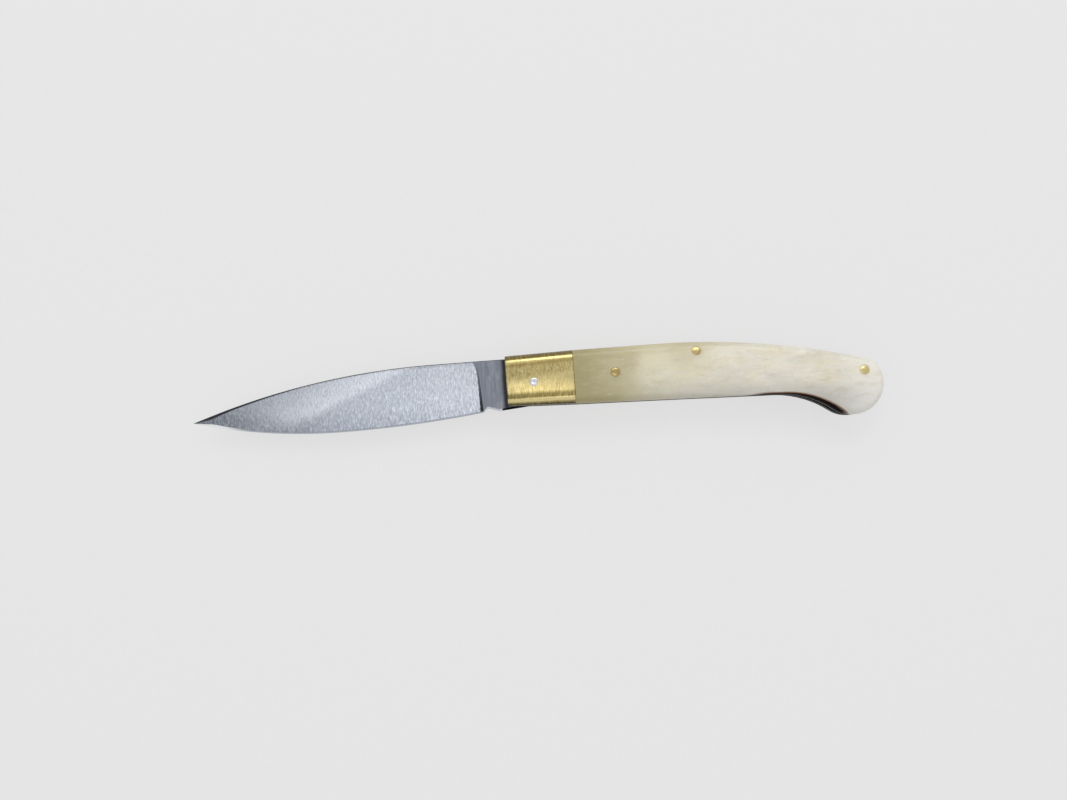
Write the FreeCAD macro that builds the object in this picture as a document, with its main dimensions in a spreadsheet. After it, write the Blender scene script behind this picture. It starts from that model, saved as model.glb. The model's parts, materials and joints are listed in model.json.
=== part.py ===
import FreeCAD, Part
import math
import os
import Sketcher

# Sizes in millimetres and degrees, measured from the pivot axis and the middle plane
SIZES = [
    # Blade
    ("blade_thickness", 2.4),
    ("edge_thickness", 0.35),
    ("spine_rise", 7.45),
    ("spine_run", 28.0),
    ("spine_land", 0.5),
    ("tip_reach", 99.3),
    ("tip_drop", 4.3),
    ("belly_reach", 57.0),
    ("belly_drop", 10.0),
    ("heel_reach", 15.0),
    ("heel_drop", 7.4),
    ("notch_reach", 13.8),
    ("notch_drop", 6.3),
    ("kick_reach", 10.5),
    ("kick_drop", 7.3),
    ("tang_radius", 6.3),
    ("plunge_reach", 16.7),
    ("plunge_tilt", 13.5),
    ("closed_turn", 172.0),
    # Collar
    ("collar_front", 7.85),
    ("collar_rear", 11.55),
    ("collar_front_rise", 8.1),
    ("collar_front_drop", 6.25),
    ("collar_break", 0.3),
    # Handle outline
    ("back_height", 8.45),
    ("back_run", 35.0),
    ("seam_drop", 6.95),
    ("tip_room", 0.7),
    ("butt_drop", 7.0),
    ("butt_radius", 9.0),
    ("shoulder_radius", 2.5),
    ("hook_run", 22.0),
    ("hook_drop", 8.5),
    ("edge_round", 2.0),
    # Layers of the handle
    ("scale_thickness", 3.7),
    ("liner_thickness", 0.8),
    ("washer_thickness", 0.2),
    ("washer_radius", 4.2),
    # Pins
    ("pivot_radius", 1.1),
    ("pivot_head", 1.2),
    ("pin_radius", 1.0),
    ("pin_head", 1.3),
    ("head_depth", 0.5),
    ("front_pin_reach", 23.3),
    ("front_pin_rise", 1.05),
    ("middle_pin_reach", 46.75),
    ("middle_pin_rise", 5.4),
    ("rear_pin_run", 3.1),
    ("rear_pin_rise", 3.4),
    # Clearances
    ("stop_gap", 0.12),
    ("washer_play", 0.04),
    ("running_gap", 0.04),
    ("pin_gap", 0.02),
    ("bay_gap", 0.4),
    ("overrun", 2.0),
]

# The grind keeps this share of the blade's height above the edge at the belly and at the tip
BELLY_GRIND_SHARE = 0.93
TIP_GRIND_SHARE = 0.54
# The back passes above the butt's centre at this share of the butt's radius
TAIL_SHARE = 0.897
# An edge rounding takes at most this share of the shoulder's radius
ROUND_SHARE = 0.9
# Points nearer than this, in millimetres, count as one, and this many degrees make a turn
TOUCH = 0.001
FULL_TURN = 360

doc = FreeCAD.newDocument("PocketKnife")
sheet = doc.addObject("Spreadsheet::Sheet", "Sizes")
for row, (alias, value) in enumerate(SIZES, start=1):
    sheet.set(f"A{row}", alias)
    sheet.set(f"B{row}", str(value))
    sheet.setAlias(f"B{row}", alias)
doc.recompute()


def size(alias):
    """Gives a cell of the sheet as it is written in an expression."""
    return f"Sizes.{alias}"


def number(expression):
    """Gives the present value of an expression."""
    return float(sheet.evalExpression(expression))


# Levels and points that follow from the sizes
GAP = f"({size('blade_thickness')} + 2 * ({size('washer_thickness')} + {size('washer_play')}))"
LINER_FACE = f"({GAP} / 2)"
SCALE_FACE = f"({LINER_FACE} + {size('liner_thickness')})"
OUTSIDE = f"({SCALE_FACE} + {size('scale_thickness')})"
BUTT_END = f"({size('tip_reach')} + {size('tip_room')})"
BUTT_X = f"({BUTT_END} - {size('butt_radius')})"
BUTT_Y = f"(-{size('butt_drop')})"
HOOK_X = f"({BUTT_X} - {size('hook_run')})"
HOOK_STEP = f"({size('hook_drop')} - {size('butt_drop')})"
HOOK_RADIUS = (
    f"(({size('hook_run')} ^ 2 + {HOOK_STEP} ^ 2 - {size('butt_radius')} ^ 2)"
    f" / (2 * ({size('butt_radius')} - {HOOK_STEP})))"
)
LOWEST = f"({size('butt_drop')} + {size('butt_radius')})"
BRIDGE = f"({size('spine_rise')} + {size('stop_gap')})"
PIVOT_X = f"({size('tip_reach')} - {BUTT_END}) / 2"
PIVOT_Y = f"({LOWEST} - {size('back_height')}) / 2"


def closed(x, y):
    """Gives where a point of the open blade lies when the blade is closed."""
    turn = size("closed_turn")
    return f"(({x}) * cos({turn}) - ({y}) * sin({turn}))", f"(({x}) * sin({turn}) + ({y}) * cos({turn}))"


def rounding(run, fall):
    """Gives the radius of an arc that starts level and falls by a height over a run."""
    return f"((({run}) ^ 2 + ({fall}) ^ 2) / (2 * ({fall})))"


def new_body(label):
    """Starts a piece whose pivot axis and middle plane lie where the knife has them."""
    body = doc.addObject("PartDesign::Body", label)
    body.Label = label
    body.setExpression("Placement.Base.x", PIVOT_X)
    body.setExpression("Placement.Base.y", PIVOT_Y)
    body.setExpression("Placement.Base.z", OUTSIDE)
    return body


def new_sketch(body, name, role="XY_Plane", x="0", y="0", z="0"):
    """Starts a sketch on a plane of the piece's own origin, moved by three expressions."""
    sketch = body.newObject("Sketcher::SketchObject", f"{body.Label}_{name}")
    plane = [item for item in body.Origin.OriginFeatures if item.Role == role][0]
    sketch.AttachmentSupport = [(plane, "")]
    sketch.MapMode = "FlatFace"
    for axis, expression in (("x", x), ("y", y), ("z", z)):
        if expression != "0":
            sketch.setExpression(f"AttachmentOffset.Base.{axis}", expression)
    return sketch


def tie(sketch, kind, where, expression):
    """Adds a dimension to a sketch and binds it to an expression."""
    index = sketch.addConstraint(Sketcher.Constraint(kind, *where, number(expression)))
    sketch.setExpression(f"Constraints[{index}]", expression)


def tie_point(sketch, geometry, position, x, y):
    """Binds a point of a sketch to two expressions."""
    for kind, axis, expression in (("DistanceX", -2, x), ("DistanceY", -1, y)):
        if expression == "0":
            sketch.addConstraint(Sketcher.Constraint("PointOnObject", geometry, position, axis))
        else:
            tie(sketch, kind, (-1, 1, geometry, position), expression)


def vector(point):
    """Gives the present place of a point that is written as two expressions."""
    return FreeCAD.Vector(number(point[0]), number(point[1]), 0)


def join(sketch, first, second):
    """Makes two ends of a sketch one point."""
    sketch.addConstraint(Sketcher.Constraint("Coincident", *first, *second))


def add_line(sketch, start, end):
    """Adds a straight stretch and gives its two ends."""
    line = sketch.addGeometry(Part.LineSegment(start, end), False)
    return (line, 1), (line, 2)


def add_arc(sketch, centre, start, end, leftward):
    """Adds an arc from start to end and gives its two ends."""
    if not leftward:
        end_of_arc, start_of_arc = add_arc(sketch, centre, end, start, True)
        return start_of_arc, end_of_arc
    circle = Part.Circle(centre, FreeCAD.Vector(0, 0, 1), (start - centre).Length)
    first = math.atan2(start.y - centre.y, start.x - centre.x)
    last = math.atan2(end.y - centre.y, end.x - centre.x)
    arc = sketch.addGeometry(Part.ArcOfCircle(circle, first, last), False)
    return (arc, 1), (arc, 2)


def add_polygon(sketch, points):
    """Draws a closed outline of straight stretches whose corners are pairs of expressions."""
    corners = [vector(point) for point in points]
    lines = [add_line(sketch, a, b) for a, b in zip(corners, corners[1:] + corners[:1])]
    for index, point in enumerate(points):
        join(sketch, lines[index - 1][1], lines[index][0])
        tie_point(sketch, *lines[index][0], *point)


def pad(body, sketch, length, reverse=False):
    """Raises a sketch into a solid."""
    feature = body.newObject("PartDesign::Pad", f"{sketch.Name}_pad")
    feature.Profile = sketch
    feature.setExpression("Length", length)
    feature.Reversed = reverse
    doc.recompute()
    return feature


def pocket(body, sketch, length):
    """Cuts a sketch away downward from its plane."""
    feature = body.newObject("PartDesign::Pocket", f"{sketch.Name}_pocket")
    feature.Profile = sketch
    feature.setExpression("Length", length)
    doc.recompute()
    return feature


def round_edges(body, chosen, radius, name):
    """Rounds the edges of the piece that a test chooses."""
    tip = body.Tip
    names = [f"Edge{n}" for n, edge in enumerate(tip.Shape.Edges, start=1) if chosen(edge)]
    feature = body.newObject("PartDesign::Fillet", f"{body.Label}_{name}")
    feature.Base = (tip, names)
    feature.setExpression("Radius", radius)
    doc.recompute()
    return feature


def lies_at(edge, level):
    """Tells whether an edge lies in a level plane."""
    box = edge.BoundBox
    return abs(box.ZMin - level) < TOUCH and abs(box.ZMax - level) < TOUCH


# Pins: where each stands, its radius, its head's radius and the faces where it ends
PIVOT = ("0", "0", size("pivot_radius"), size("pivot_head"))
FRONT = (size("front_pin_reach"), size("front_pin_rise"), size("pin_radius"), size("pin_head"))
MIDDLE = (size("middle_pin_reach"), size("middle_pin_rise"), size("pin_radius"), size("pin_head"))
REAR = (
    f"({BUTT_X} + {size('rear_pin_run')})",
    f"({BUTT_Y} + {size('rear_pin_rise')})",
    size("pin_radius"),
    size("pin_head"),
)


def pin_profile(sketch, pin, low, high, gap="0", ahead="0"):
    """Draws half of a pin with flared heads, or of its bore when a gap and a lead are given."""
    shank, head = f"({pin[2]} + {gap})", f"({pin[3]} + {gap})"
    depth = size("head_depth")
    points = [("0", f"({low} - {ahead})"), (head, f"({low} - {ahead})")]
    if ahead != "0":
        points.append((head, low))
    points += [(shank, f"({low} + {depth})"), (shank, f"({high} - {depth})")]
    if ahead != "0":
        points.append((head, high))
    points += [(head, f"({high} + {ahead})"), ("0", f"({high} + {ahead})")]
    add_polygon(sketch, points)


def make_pin(label, pin, low, high):
    """Makes one pin as a turned solid."""
    body = new_body(label)
    sketch = new_sketch(body, "profile", "XZ_Plane", pin[0], "0", f"(-{pin[1]})" if pin[1] != "0" else "0")
    pin_profile(sketch, pin, low, high)
    turned = body.newObject("PartDesign::Revolution", f"{label}_turned")
    turned.Profile = sketch
    turned.ReferenceAxis = (sketch, ["V_Axis"])
    turned.Angle = FULL_TURN
    doc.recompute()
    return body


def bore(body, name, pin, low, high, gap):
    """Cuts the seat of a pin, heads included, out of a piece."""
    sketch = new_sketch(body, name, "XZ_Plane", pin[0], "0", f"(-{pin[1]})" if pin[1] != "0" else "0")
    pin_profile(sketch, pin, low, high, gap, size("overrun"))
    cut = body.newObject("PartDesign::Groove", f"{sketch.Name}_bore")
    cut.Profile = sketch
    cut.ReferenceAxis = (sketch, ["V_Axis"])
    cut.Angle = FULL_TURN
    doc.recompute()
    return cut


def draw_handle(sketch, front):
    """Draws the handle's outline: straight back, curved tail, round butt, hook and underside.

    The front is a list of points from the underside's front end up to the back's front end.
    """
    back_start = vector((size("collar_rear"), size("back_height")))
    back_end = vector((size("back_run"), size("back_height")))
    butt = vector((BUTT_X, BUTT_Y))
    butt_radius = number(size("butt_radius"))
    shoulder_radius = number(size("shoulder_radius"))
    hook_end = vector((HOOK_X, f"(-{size('hook_drop')})"))
    under_end = vector((size("collar_rear"), f"(-{size('seam_drop')})"))

    tail_fall = f"({size('back_height')} - {BUTT_Y} - {size('butt_radius')} * {TAIL_SHARE})"
    tail_rounding = rounding(f"({BUTT_X} - {size('back_run')})", tail_fall)
    tail_radius = number(tail_rounding)
    tail = back_end - FreeCAD.Vector(0, tail_radius, 0)
    along = butt - tail
    apart = along.Length
    along.normalize()
    outer, inner = tail_radius - shoulder_radius, butt_radius - shoulder_radius
    foot = (outer**2 - inner**2 + apart**2) / (2 * apart)
    aside = math.sqrt(outer**2 - foot**2)
    shoulder = tail + along * foot + FreeCAD.Vector(along.y, -along.x, 0) * aside
    tail_end = tail + (shoulder - tail).normalize() * tail_radius
    shoulder_end = butt + (shoulder - butt).normalize() * butt_radius

    hook_radius = number(HOOK_RADIUS)
    hook = hook_end - FreeCAD.Vector(0, hook_radius, 0)
    butt_end = butt + (hook - butt).normalize() * butt_radius

    back = add_line(sketch, back_start, back_end)
    tail_arc = add_arc(sketch, tail, back_end, tail_end, False)
    shoulder_arc = add_arc(sketch, shoulder, tail_end, shoulder_end, False)
    butt_arc = add_arc(sketch, butt, shoulder_end, butt_end, False)
    hook_arc = add_arc(sketch, hook, butt_end, hook_end, True)
    under = add_line(sketch, hook_end, under_end)

    join(sketch, back[1], tail_arc[0])
    arcs = [tail_arc, shoulder_arc, butt_arc, hook_arc]
    for first, second in zip(arcs, arcs[1:]):
        sketch.addConstraint(Sketcher.Constraint("Tangent", *first[1], *second[0]))
    join(sketch, hook_arc[1], under[0])
    tie_point(sketch, *back[0], size("collar_rear"), size("back_height"))
    tie_point(sketch, *back[1], size("back_run"), size("back_height"))
    sketch.addConstraint(Sketcher.Constraint("Vertical", tail_arc[0][0], 3, *tail_arc[0]))
    tie(sketch, "Radius", (tail_arc[0][0],), tail_rounding)
    tie(sketch, "Radius", (shoulder_arc[0][0],), size("shoulder_radius"))
    tie_point(sketch, butt_arc[0][0], 3, BUTT_X, BUTT_Y)
    tie(sketch, "Radius", (butt_arc[0][0],), size("butt_radius"))
    sketch.addConstraint(Sketcher.Constraint("Vertical", hook_arc[0][0], 3, *hook_arc[1]))
    tie_point(sketch, *under[0], HOOK_X, f"(-{size('hook_drop')})")
    tie_point(sketch, *under[1], size("collar_rear"), f"(-{size('seam_drop')})")

    end = under[1]
    for first, second in zip([None] + front, front + [None]):
        start = vector(first) if first else under_end
        stop = vector(second) if second else back_start
        line = add_line(sketch, start, stop)
        join(sketch, end, line[0])
        if second:
            tie_point(sketch, *line[1], *second)
        end = line[1]
    join(sketch, end, back[0])


def add_circle(sketch, x, y, radius):
    """Draws a circle from expressions."""
    centre = vector((x, y))
    circle = Part.Circle(centre, FreeCAD.Vector(0, 0, 1), number(radius))
    index = sketch.addGeometry(circle, False)
    tie_point(sketch, index, 3, x, y)
    tie(sketch, "Radius", (index,), radius)


def rivet_ends(side):
    """Gives the lower and upper end of a front rivet."""
    if side > 0:
        return LINER_FACE, OUTSIDE
    return f"(-{OUTSIDE})", f"(-{LINER_FACE})"


def make_scale(label, side):
    """Makes one bone scale, with its outer edges rounded and its pins' seats cut."""
    body = new_body(label)
    outline = new_sketch(body, "outline", z=f"({side} * {SCALE_FACE})")
    draw_handle(outline, [])
    pad(body, outline, size("scale_thickness"), side < 0)
    level, seam = side * number(OUTSIDE), number(size("collar_rear"))
    round_edges(
        body,
        lambda edge: lies_at(edge, level) and edge.BoundBox.XMax > seam + TOUCH,
        f"min({size('edge_round')}; {size('shoulder_radius')} * {ROUND_SHARE})",
        "round",
    )
    rivet_low, rivet_high = rivet_ends(side)
    bore(body, "front_seat", FRONT, rivet_low, rivet_high, size("pin_gap"))
    bore(body, "middle_seat", MIDDLE, f"(-{OUTSIDE})", OUTSIDE, size("pin_gap"))
    bore(body, "rear_seat", REAR, f"(-{OUTSIDE})", OUTSIDE, size("pin_gap"))
    return body


def make_liner(label, side):
    """Makes one steel liner, which runs on as a tongue inside the collar."""
    body = new_body(label)
    outline = new_sketch(body, "outline", z=f"({side} * {LINER_FACE})")
    tongue = [
        (size("collar_rear"), f"(-{size('collar_front_drop')})"),
        (f"(-{size('collar_front')})", f"(-{size('collar_front_drop')})"),
        (f"(-{size('collar_front')})", size("spine_rise")),
        (size("collar_rear"), size("spine_rise")),
    ]
    draw_handle(outline, tongue)
    pad(body, outline, size("liner_thickness"), side < 0)
    rivet_low, rivet_high = rivet_ends(side)
    bore(body, "pivot_seat", PIVOT, f"(-{OUTSIDE})", OUTSIDE, size("pin_gap"))
    bore(body, "front_seat", FRONT, rivet_low, rivet_high, size("pin_gap"))
    bore(body, "middle_seat", MIDDLE, f"(-{OUTSIDE})", OUTSIDE, size("pin_gap"))
    bore(body, "rear_seat", REAR, f"(-{OUTSIDE})", OUTSIDE, size("pin_gap"))
    return body


def make_washer(label, side):
    """Makes one thin washer between the blade and a liner."""
    body = new_body(label)
    ring = new_sketch(body, "ring", z=f"({side} * ({LINER_FACE} - {size('washer_thickness')}))")
    for radius in (size("washer_radius"), f"({size('pivot_radius')} + {size('running_gap')})"):
        add_circle(ring, "0", "0", radius)
    pad(body, ring, size("washer_thickness"), side < 0)
    return body


def make_spacer(label):
    """Makes the steel strip along the back, cut out below where the closed blade lies."""
    body = new_body(label)
    outline = new_sketch(body, "outline", z=f"(-{LINER_FACE})")
    draw_handle(outline, [])
    pad(body, outline, GAP)

    bay = new_sketch(body, "bay", z=f"({LINER_FACE} + {size('overrun')})")
    rear_fall = f"({size('belly_drop')} - {size('heel_drop')})"
    rear_run = f"({size('belly_reach')} - {size('heel_reach')})"
    front_fall = f"({size('belly_drop')} - {size('tip_drop')})"
    front_run = f"({size('tip_reach')} - {size('belly_reach')})"
    edge_x = f"(-{size('belly_reach')})"
    belly = closed(edge_x, f"(-{size('belly_drop')} - {size('bay_gap')})")
    rear = closed(edge_x, f"({rounding(rear_run, rear_fall)} - {size('belly_drop')})")
    fore = closed(edge_x, f"({rounding(front_run, front_fall)} - {size('belly_drop')})")
    kick = closed(f"(-{size('kick_reach')})", f"(-{size('kick_drop')})")
    notch = closed(f"(-{size('notch_reach')})", f"(-{size('notch_drop')})")
    stop = f"({kick[1]} + {size('stop_gap')})"
    front = f"({size('collar_rear')} - {size('overrun')})"
    behind = f"({BUTT_END} + {size('overrun')})"
    below = f"(-({LOWEST} + {size('overrun')}))"

    middle, rear_centre, fore_centre = vector(belly), vector(rear), vector(fore)
    rear_radius = (middle - rear_centre).Length
    fore_radius = (middle - fore_centre).Length
    step = vector((notch[0], stop))
    aside = step.x - rear_centre.x
    meet = FreeCAD.Vector(step.x, rear_centre.y + math.sqrt(rear_radius**2 - aside**2), 0)
    out = number(behind) - fore_centre.x
    tail = FreeCAD.Vector(number(behind), fore_centre.y + math.sqrt(fore_radius**2 - out**2), 0)
    corner = vector((front, stop))
    lower = vector((front, below))
    last = vector((behind, below))

    ledge = add_line(bay, corner, step)
    drop = add_line(bay, step, meet)
    rear_arc = add_arc(bay, rear_centre, meet, middle, False)
    fore_arc = add_arc(bay, fore_centre, middle, tail, False)
    sides = [add_line(bay, a, b) for a, b in ((tail, last), (last, lower), (lower, corner))]
    chain = [ledge, drop, rear_arc, fore_arc] + sides
    for first, second in zip(chain, chain[1:] + chain[:1]):
        join(bay, first[1], second[0])
    tie_point(bay, *ledge[0], front, stop)
    tie_point(bay, *ledge[1], notch[0], stop)
    bay.addConstraint(Sketcher.Constraint("Vertical", drop[0][0]))
    tie_point(bay, rear_arc[0][0], 3, *rear)
    tie_point(bay, fore_arc[0][0], 3, *fore)
    tie_point(bay, *rear_arc[1], *belly)
    tie_point(bay, *sides[0][1], behind, below)
    bay.addConstraint(Sketcher.Constraint("Vertical", sides[0][0][0]))
    tie_point(bay, *sides[1][1], front, below)
    pocket(body, bay, f"({GAP} + 2 * {size('overrun')})")

    bore(body, "middle_seat", MIDDLE, f"(-{OUTSIDE})", OUTSIDE, size("pin_gap"))
    bore(body, "rear_seat", REAR, f"(-{OUTSIDE})", OUTSIDE, size("pin_gap"))
    return body


def make_collar(label):
    """Makes the brass collar: two cheeks and a bridge over the blade's back, open below."""
    body = new_body(label)
    side = new_sketch(body, "side", z=f"(-{OUTSIDE})")
    add_polygon(
        side,
        [
            (f"(-{size('collar_front')})", f"(-{size('collar_front_drop')})"),
            (size("collar_rear"), f"(-{size('seam_drop')})"),
            (size("collar_rear"), size("back_height")),
            (f"(-{size('collar_front')})", size("collar_front_rise")),
        ],
    )
    pad(body, side, f"(2 * {OUTSIDE})")
    outer = number(OUTSIDE)
    long_edge = number(size("collar_rear"))
    round_edges(
        body,
        lambda edge: abs(abs(edge.CenterOfMass.z) - outer) < TOUCH and edge.Length > long_edge,
        size("edge_round"),
        "round",
    )
    mouth = -number(size("collar_front"))
    round_edges(
        body,
        lambda edge: edge.BoundBox.XMax < mouth + TOUCH,
        size("collar_break"),
        "break",
    )
    slot = new_sketch(body, "slot", z=SCALE_FACE)
    ahead = f"(-({size('collar_front')} + {size('overrun')}))"
    behind = f"({size('collar_rear')} + {size('overrun')})"
    below = f"(-({size('seam_drop')} + {size('overrun')}))"
    add_polygon(slot, [(ahead, below), (behind, below), (behind, BRIDGE), (ahead, BRIDGE)])
    pocket(body, slot, f"(2 * {SCALE_FACE})")
    bore(body, "pivot_seat", PIVOT, f"(-{OUTSIDE})", OUTSIDE, size("pin_gap"))
    return body


def draw_blade(sketch):
    """Draws the blade's outline: round tang, straight and curved spine, belly, heel, notch and kick."""
    crown = vector(("0", size("spine_rise")))
    bend = vector((f"(-{size('spine_run')})", size("spine_rise")))
    tip = vector((f"(-{size('tip_reach')})", f"(-{size('tip_drop')})"))
    belly = vector((f"(-{size('belly_reach')})", f"(-{size('belly_drop')})"))
    heel = vector((f"(-{size('heel_reach')})", f"(-{size('heel_drop')})"))
    notch = vector((f"(-{size('notch_reach')})", f"(-{size('notch_drop')})"))
    kick = vector((f"(-{size('kick_reach')})", f"(-{size('kick_drop')})"))
    foot_x = f"({size('spine_rise')} - {size('tang_radius')})"
    foot = vector((foot_x, f"(-{size('tang_radius')})"))
    back = vector((size("spine_rise"), "0"))

    def level_arc(start, end, leftward, level_at_start):
        """Adds an arc that runs level at one of its ends."""
        level, other = (start, end) if level_at_start else (end, start)
        run, fall = other.x - level.x, other.y - level.y
        radius = (run**2 + fall**2) / (2 * fall)
        arc = add_arc(sketch, level + FreeCAD.Vector(0, radius, 0), start, end, leftward)
        ends = arc[0] if level_at_start else arc[1]
        sketch.addConstraint(Sketcher.Constraint("Vertical", arc[0][0], 3, *ends))
        return arc

    spine = add_line(sketch, crown, bend)
    nose = level_arc(bend, tip, True, True)
    fore = level_arc(tip, belly, True, False)
    rear = level_arc(belly, heel, True, True)
    step = add_line(sketch, heel, notch)
    bump = add_line(sketch, notch, kick)
    under = add_line(sketch, kick, foot)
    lower = add_arc(sketch, FreeCAD.Vector(foot.x, 0, 0), foot, back, True)
    upper = add_arc(sketch, FreeCAD.Vector(0, 0, 0), back, crown, True)
    chain = [spine, nose, fore, rear, step, bump, under, lower, upper]
    for first, second in zip(chain, chain[1:] + chain[:1]):
        join(sketch, first[1], second[0])
    tie_point(sketch, *spine[1], f"(-{size('spine_run')})", size("spine_rise"))
    tie_point(sketch, *nose[1], f"(-{size('tip_reach')})", f"(-{size('tip_drop')})")
    tie_point(sketch, *fore[1], f"(-{size('belly_reach')})", f"(-{size('belly_drop')})")
    tie_point(sketch, *rear[1], f"(-{size('heel_reach')})", f"(-{size('heel_drop')})")
    tie_point(sketch, *step[1], f"(-{size('notch_reach')})", f"(-{size('notch_drop')})")
    tie_point(sketch, *bump[1], f"(-{size('kick_reach')})", f"(-{size('kick_drop')})")
    join(sketch, (upper[0][0], 3), (-1, 1))
    tie_point(sketch, *upper[1], "0", size("spine_rise"))
    sketch.addConstraint(Sketcher.Constraint("PointOnObject", *upper[0], -1))
    tie_point(sketch, *lower[0], foot_x, f"(-{size('tang_radius')})")
    sketch.addConstraint(Sketcher.Constraint("PointOnObject", lower[0][0], 3, -1))


def grind_section(body, name, side, x, high, low, tilt="0"):
    """Draws one slice of what the grinding takes off a face, across the blade."""
    sketch = new_sketch(body, name, "YZ_Plane", z=f"(-{x})")
    stretch = "1"
    if tilt != "0":
        sketch.AttachmentOffset = FreeCAD.Placement(
            FreeCAD.Vector(0, 0, 0), FreeCAD.Rotation(FreeCAD.Vector(0, 1, 0), number(tilt))
        )
        sketch.setExpression("AttachmentOffset.Rotation.Angle", tilt)
        sketch.setExpression("AttachmentOffset.Base.z", f"(-{x})")
        stretch = f"cos({tilt})"
    face, edge = f"({size('blade_thickness')} / 2)", f"({size('edge_thickness')} / 2)"
    slope = f"(({face} - {edge}) / ({high} - {low}))"
    lead = size("overrun")
    points = [
        (f"(({high} + {lead}) / {stretch})", f"({side} * ({face} + {lead} * {slope}))"),
        (f"(({low} - {lead}) / {stretch})", f"({side} * ({edge} - {lead} * {slope}))"),
        (f"(({low} - {lead}) / {stretch})", f"({side} * ({face} + {lead}))"),
        (f"(({high} + {lead}) / {stretch})", f"({side} * ({face} + {lead}))"),
    ]
    add_polygon(sketch, points)
    return sketch


def make_blade(label):
    """Makes the blade: a flat plate ground thin on both faces in front of the plunge line."""
    body = new_body(label)
    outline = new_sketch(body, "outline", z=f"(-{size('blade_thickness')} / 2)")
    draw_blade(outline)
    pad(body, outline, size("blade_thickness"))
    start = f"({size('spine_rise')} - {size('spine_land')})"
    height = f"({size('spine_rise')} + {size('belly_drop')})"
    belly_high = f"({height} * {BELLY_GRIND_SHARE} - {size('belly_drop')})"
    tip_high = f"({height} * {TIP_GRIND_SHARE} - {size('tip_drop')})"
    for side, word in ((1, "near"), (-1, "far")):
        sections = [
            grind_section(
                body,
                f"{word}_plunge",
                side,
                size("plunge_reach"),
                start,
                f"(-{size('heel_drop')})",
                size("plunge_tilt"),
            ),
            grind_section(
                body, f"{word}_belly", side, size("belly_reach"), belly_high, f"(-{size('belly_drop')})"
            ),
            grind_section(
                body,
                f"{word}_tip",
                side,
                f"({size('tip_reach')} + {size('overrun')})",
                tip_high,
                f"(-{size('tip_drop')})",
            ),
        ]
        grind = body.newObject("PartDesign::SubtractiveLoft", f"{label}_{word}_grind")
        grind.Profile = sections[0]
        grind.Sections = sections[1:]
        doc.recompute()
    bore(body, "pivot_hole", PIVOT, f"(-{OUTSIDE})", OUTSIDE, size("running_gap"))
    return body


pieces = [
    make_blade("blade"),
    make_collar("collar"),
    make_liner("near_liner", 1),
    make_liner("far_liner", -1),
    make_spacer("back_spacer"),
    make_scale("near_scale", 1),
    make_scale("far_scale", -1),
    make_washer("near_washer", 1),
    make_washer("far_washer", -1),
    make_pin("pivot_pin", PIVOT, f"(-{OUTSIDE})", OUTSIDE),
    make_pin("near_front_rivet", FRONT, *rivet_ends(1)),
    make_pin("far_front_rivet", FRONT, *rivet_ends(-1)),
    make_pin("middle_pin", MIDDLE, f"(-{OUTSIDE})", OUTSIDE),
    make_pin("rear_pin", REAR, f"(-{OUTSIDE})", OUTSIDE),
]
doc.recompute()

# A piece is written only when every feature of the document is sound
for item in doc.Objects:
    if "Invalid" in item.State or "Error" in item.State:
        raise RuntimeError(f"{item.Label} did not build: {item.State}")
os.makedirs("parts", exist_ok=True)
for piece in pieces:
    shape = piece.Shape
    if shape.isNull() or not shape.isValid() or len(shape.Solids) != 1:
        raise RuntimeError(f"{piece.Label} is not one sound solid")
    shape.exportStep(f"parts/{piece.Label}.step")
    print(piece.Label, f"{shape.Volume:.2f} cubic mm")
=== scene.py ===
"""Looks of the folding pocket knife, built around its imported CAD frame."""
import json
import logging
import math
from dataclasses import dataclass, field, replace
from enum import Enum, IntEnum

import bmesh
import bpy
import numpy as np
from mathutils import Euler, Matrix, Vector

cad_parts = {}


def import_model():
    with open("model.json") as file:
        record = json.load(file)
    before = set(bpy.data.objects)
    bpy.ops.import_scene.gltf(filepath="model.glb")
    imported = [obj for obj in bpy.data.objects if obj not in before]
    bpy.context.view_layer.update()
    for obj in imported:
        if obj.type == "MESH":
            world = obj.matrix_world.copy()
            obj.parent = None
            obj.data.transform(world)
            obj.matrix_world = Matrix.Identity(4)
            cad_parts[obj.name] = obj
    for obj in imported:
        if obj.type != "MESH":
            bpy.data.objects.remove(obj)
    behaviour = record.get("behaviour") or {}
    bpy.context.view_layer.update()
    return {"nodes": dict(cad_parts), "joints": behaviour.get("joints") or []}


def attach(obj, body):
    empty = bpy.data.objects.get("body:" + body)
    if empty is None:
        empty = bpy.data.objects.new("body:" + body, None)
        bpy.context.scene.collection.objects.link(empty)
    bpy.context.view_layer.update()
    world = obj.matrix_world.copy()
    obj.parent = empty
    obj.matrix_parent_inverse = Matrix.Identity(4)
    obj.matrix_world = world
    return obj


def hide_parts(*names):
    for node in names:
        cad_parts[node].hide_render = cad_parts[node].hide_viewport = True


LOG = logging.getLogger("pocket_knife")
MM = 0.001
SHARP_ANGLE = math.radians(38)
WELD = 1e-7
# Most heights of a noise pattern lie between these two
MARKS_LOW, MARKS_HIGH = 0.25, 0.75

Array = np.ndarray
Point = tuple[float, float]
Triple = tuple[float, float, float]
Socket = bpy.types.NodeSocket
Colour = Socket | tuple[float, float, float, float]
Tree = bpy.types.NodeTree


class Side(Enum):
    """The two faces of the knife: near looks up at the camera, far lies on the floor."""

    NEAR = 1
    FAR = -1


class Body(Enum):
    """The two moving bodies of the CAD frame."""

    HANDLE = "handle"
    BLADE = "blade"


class Slot(Enum):
    """The material slots of the record."""

    BLADE = "blade_steel"
    COLLAR = "collar_brass"
    LINER = "liner_steel"
    BONE = "bone"
    BRONZE = "bronze"
    PIN_STEEL = "pin_steel"
    PIN_BRASS = "pin_brass"


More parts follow.
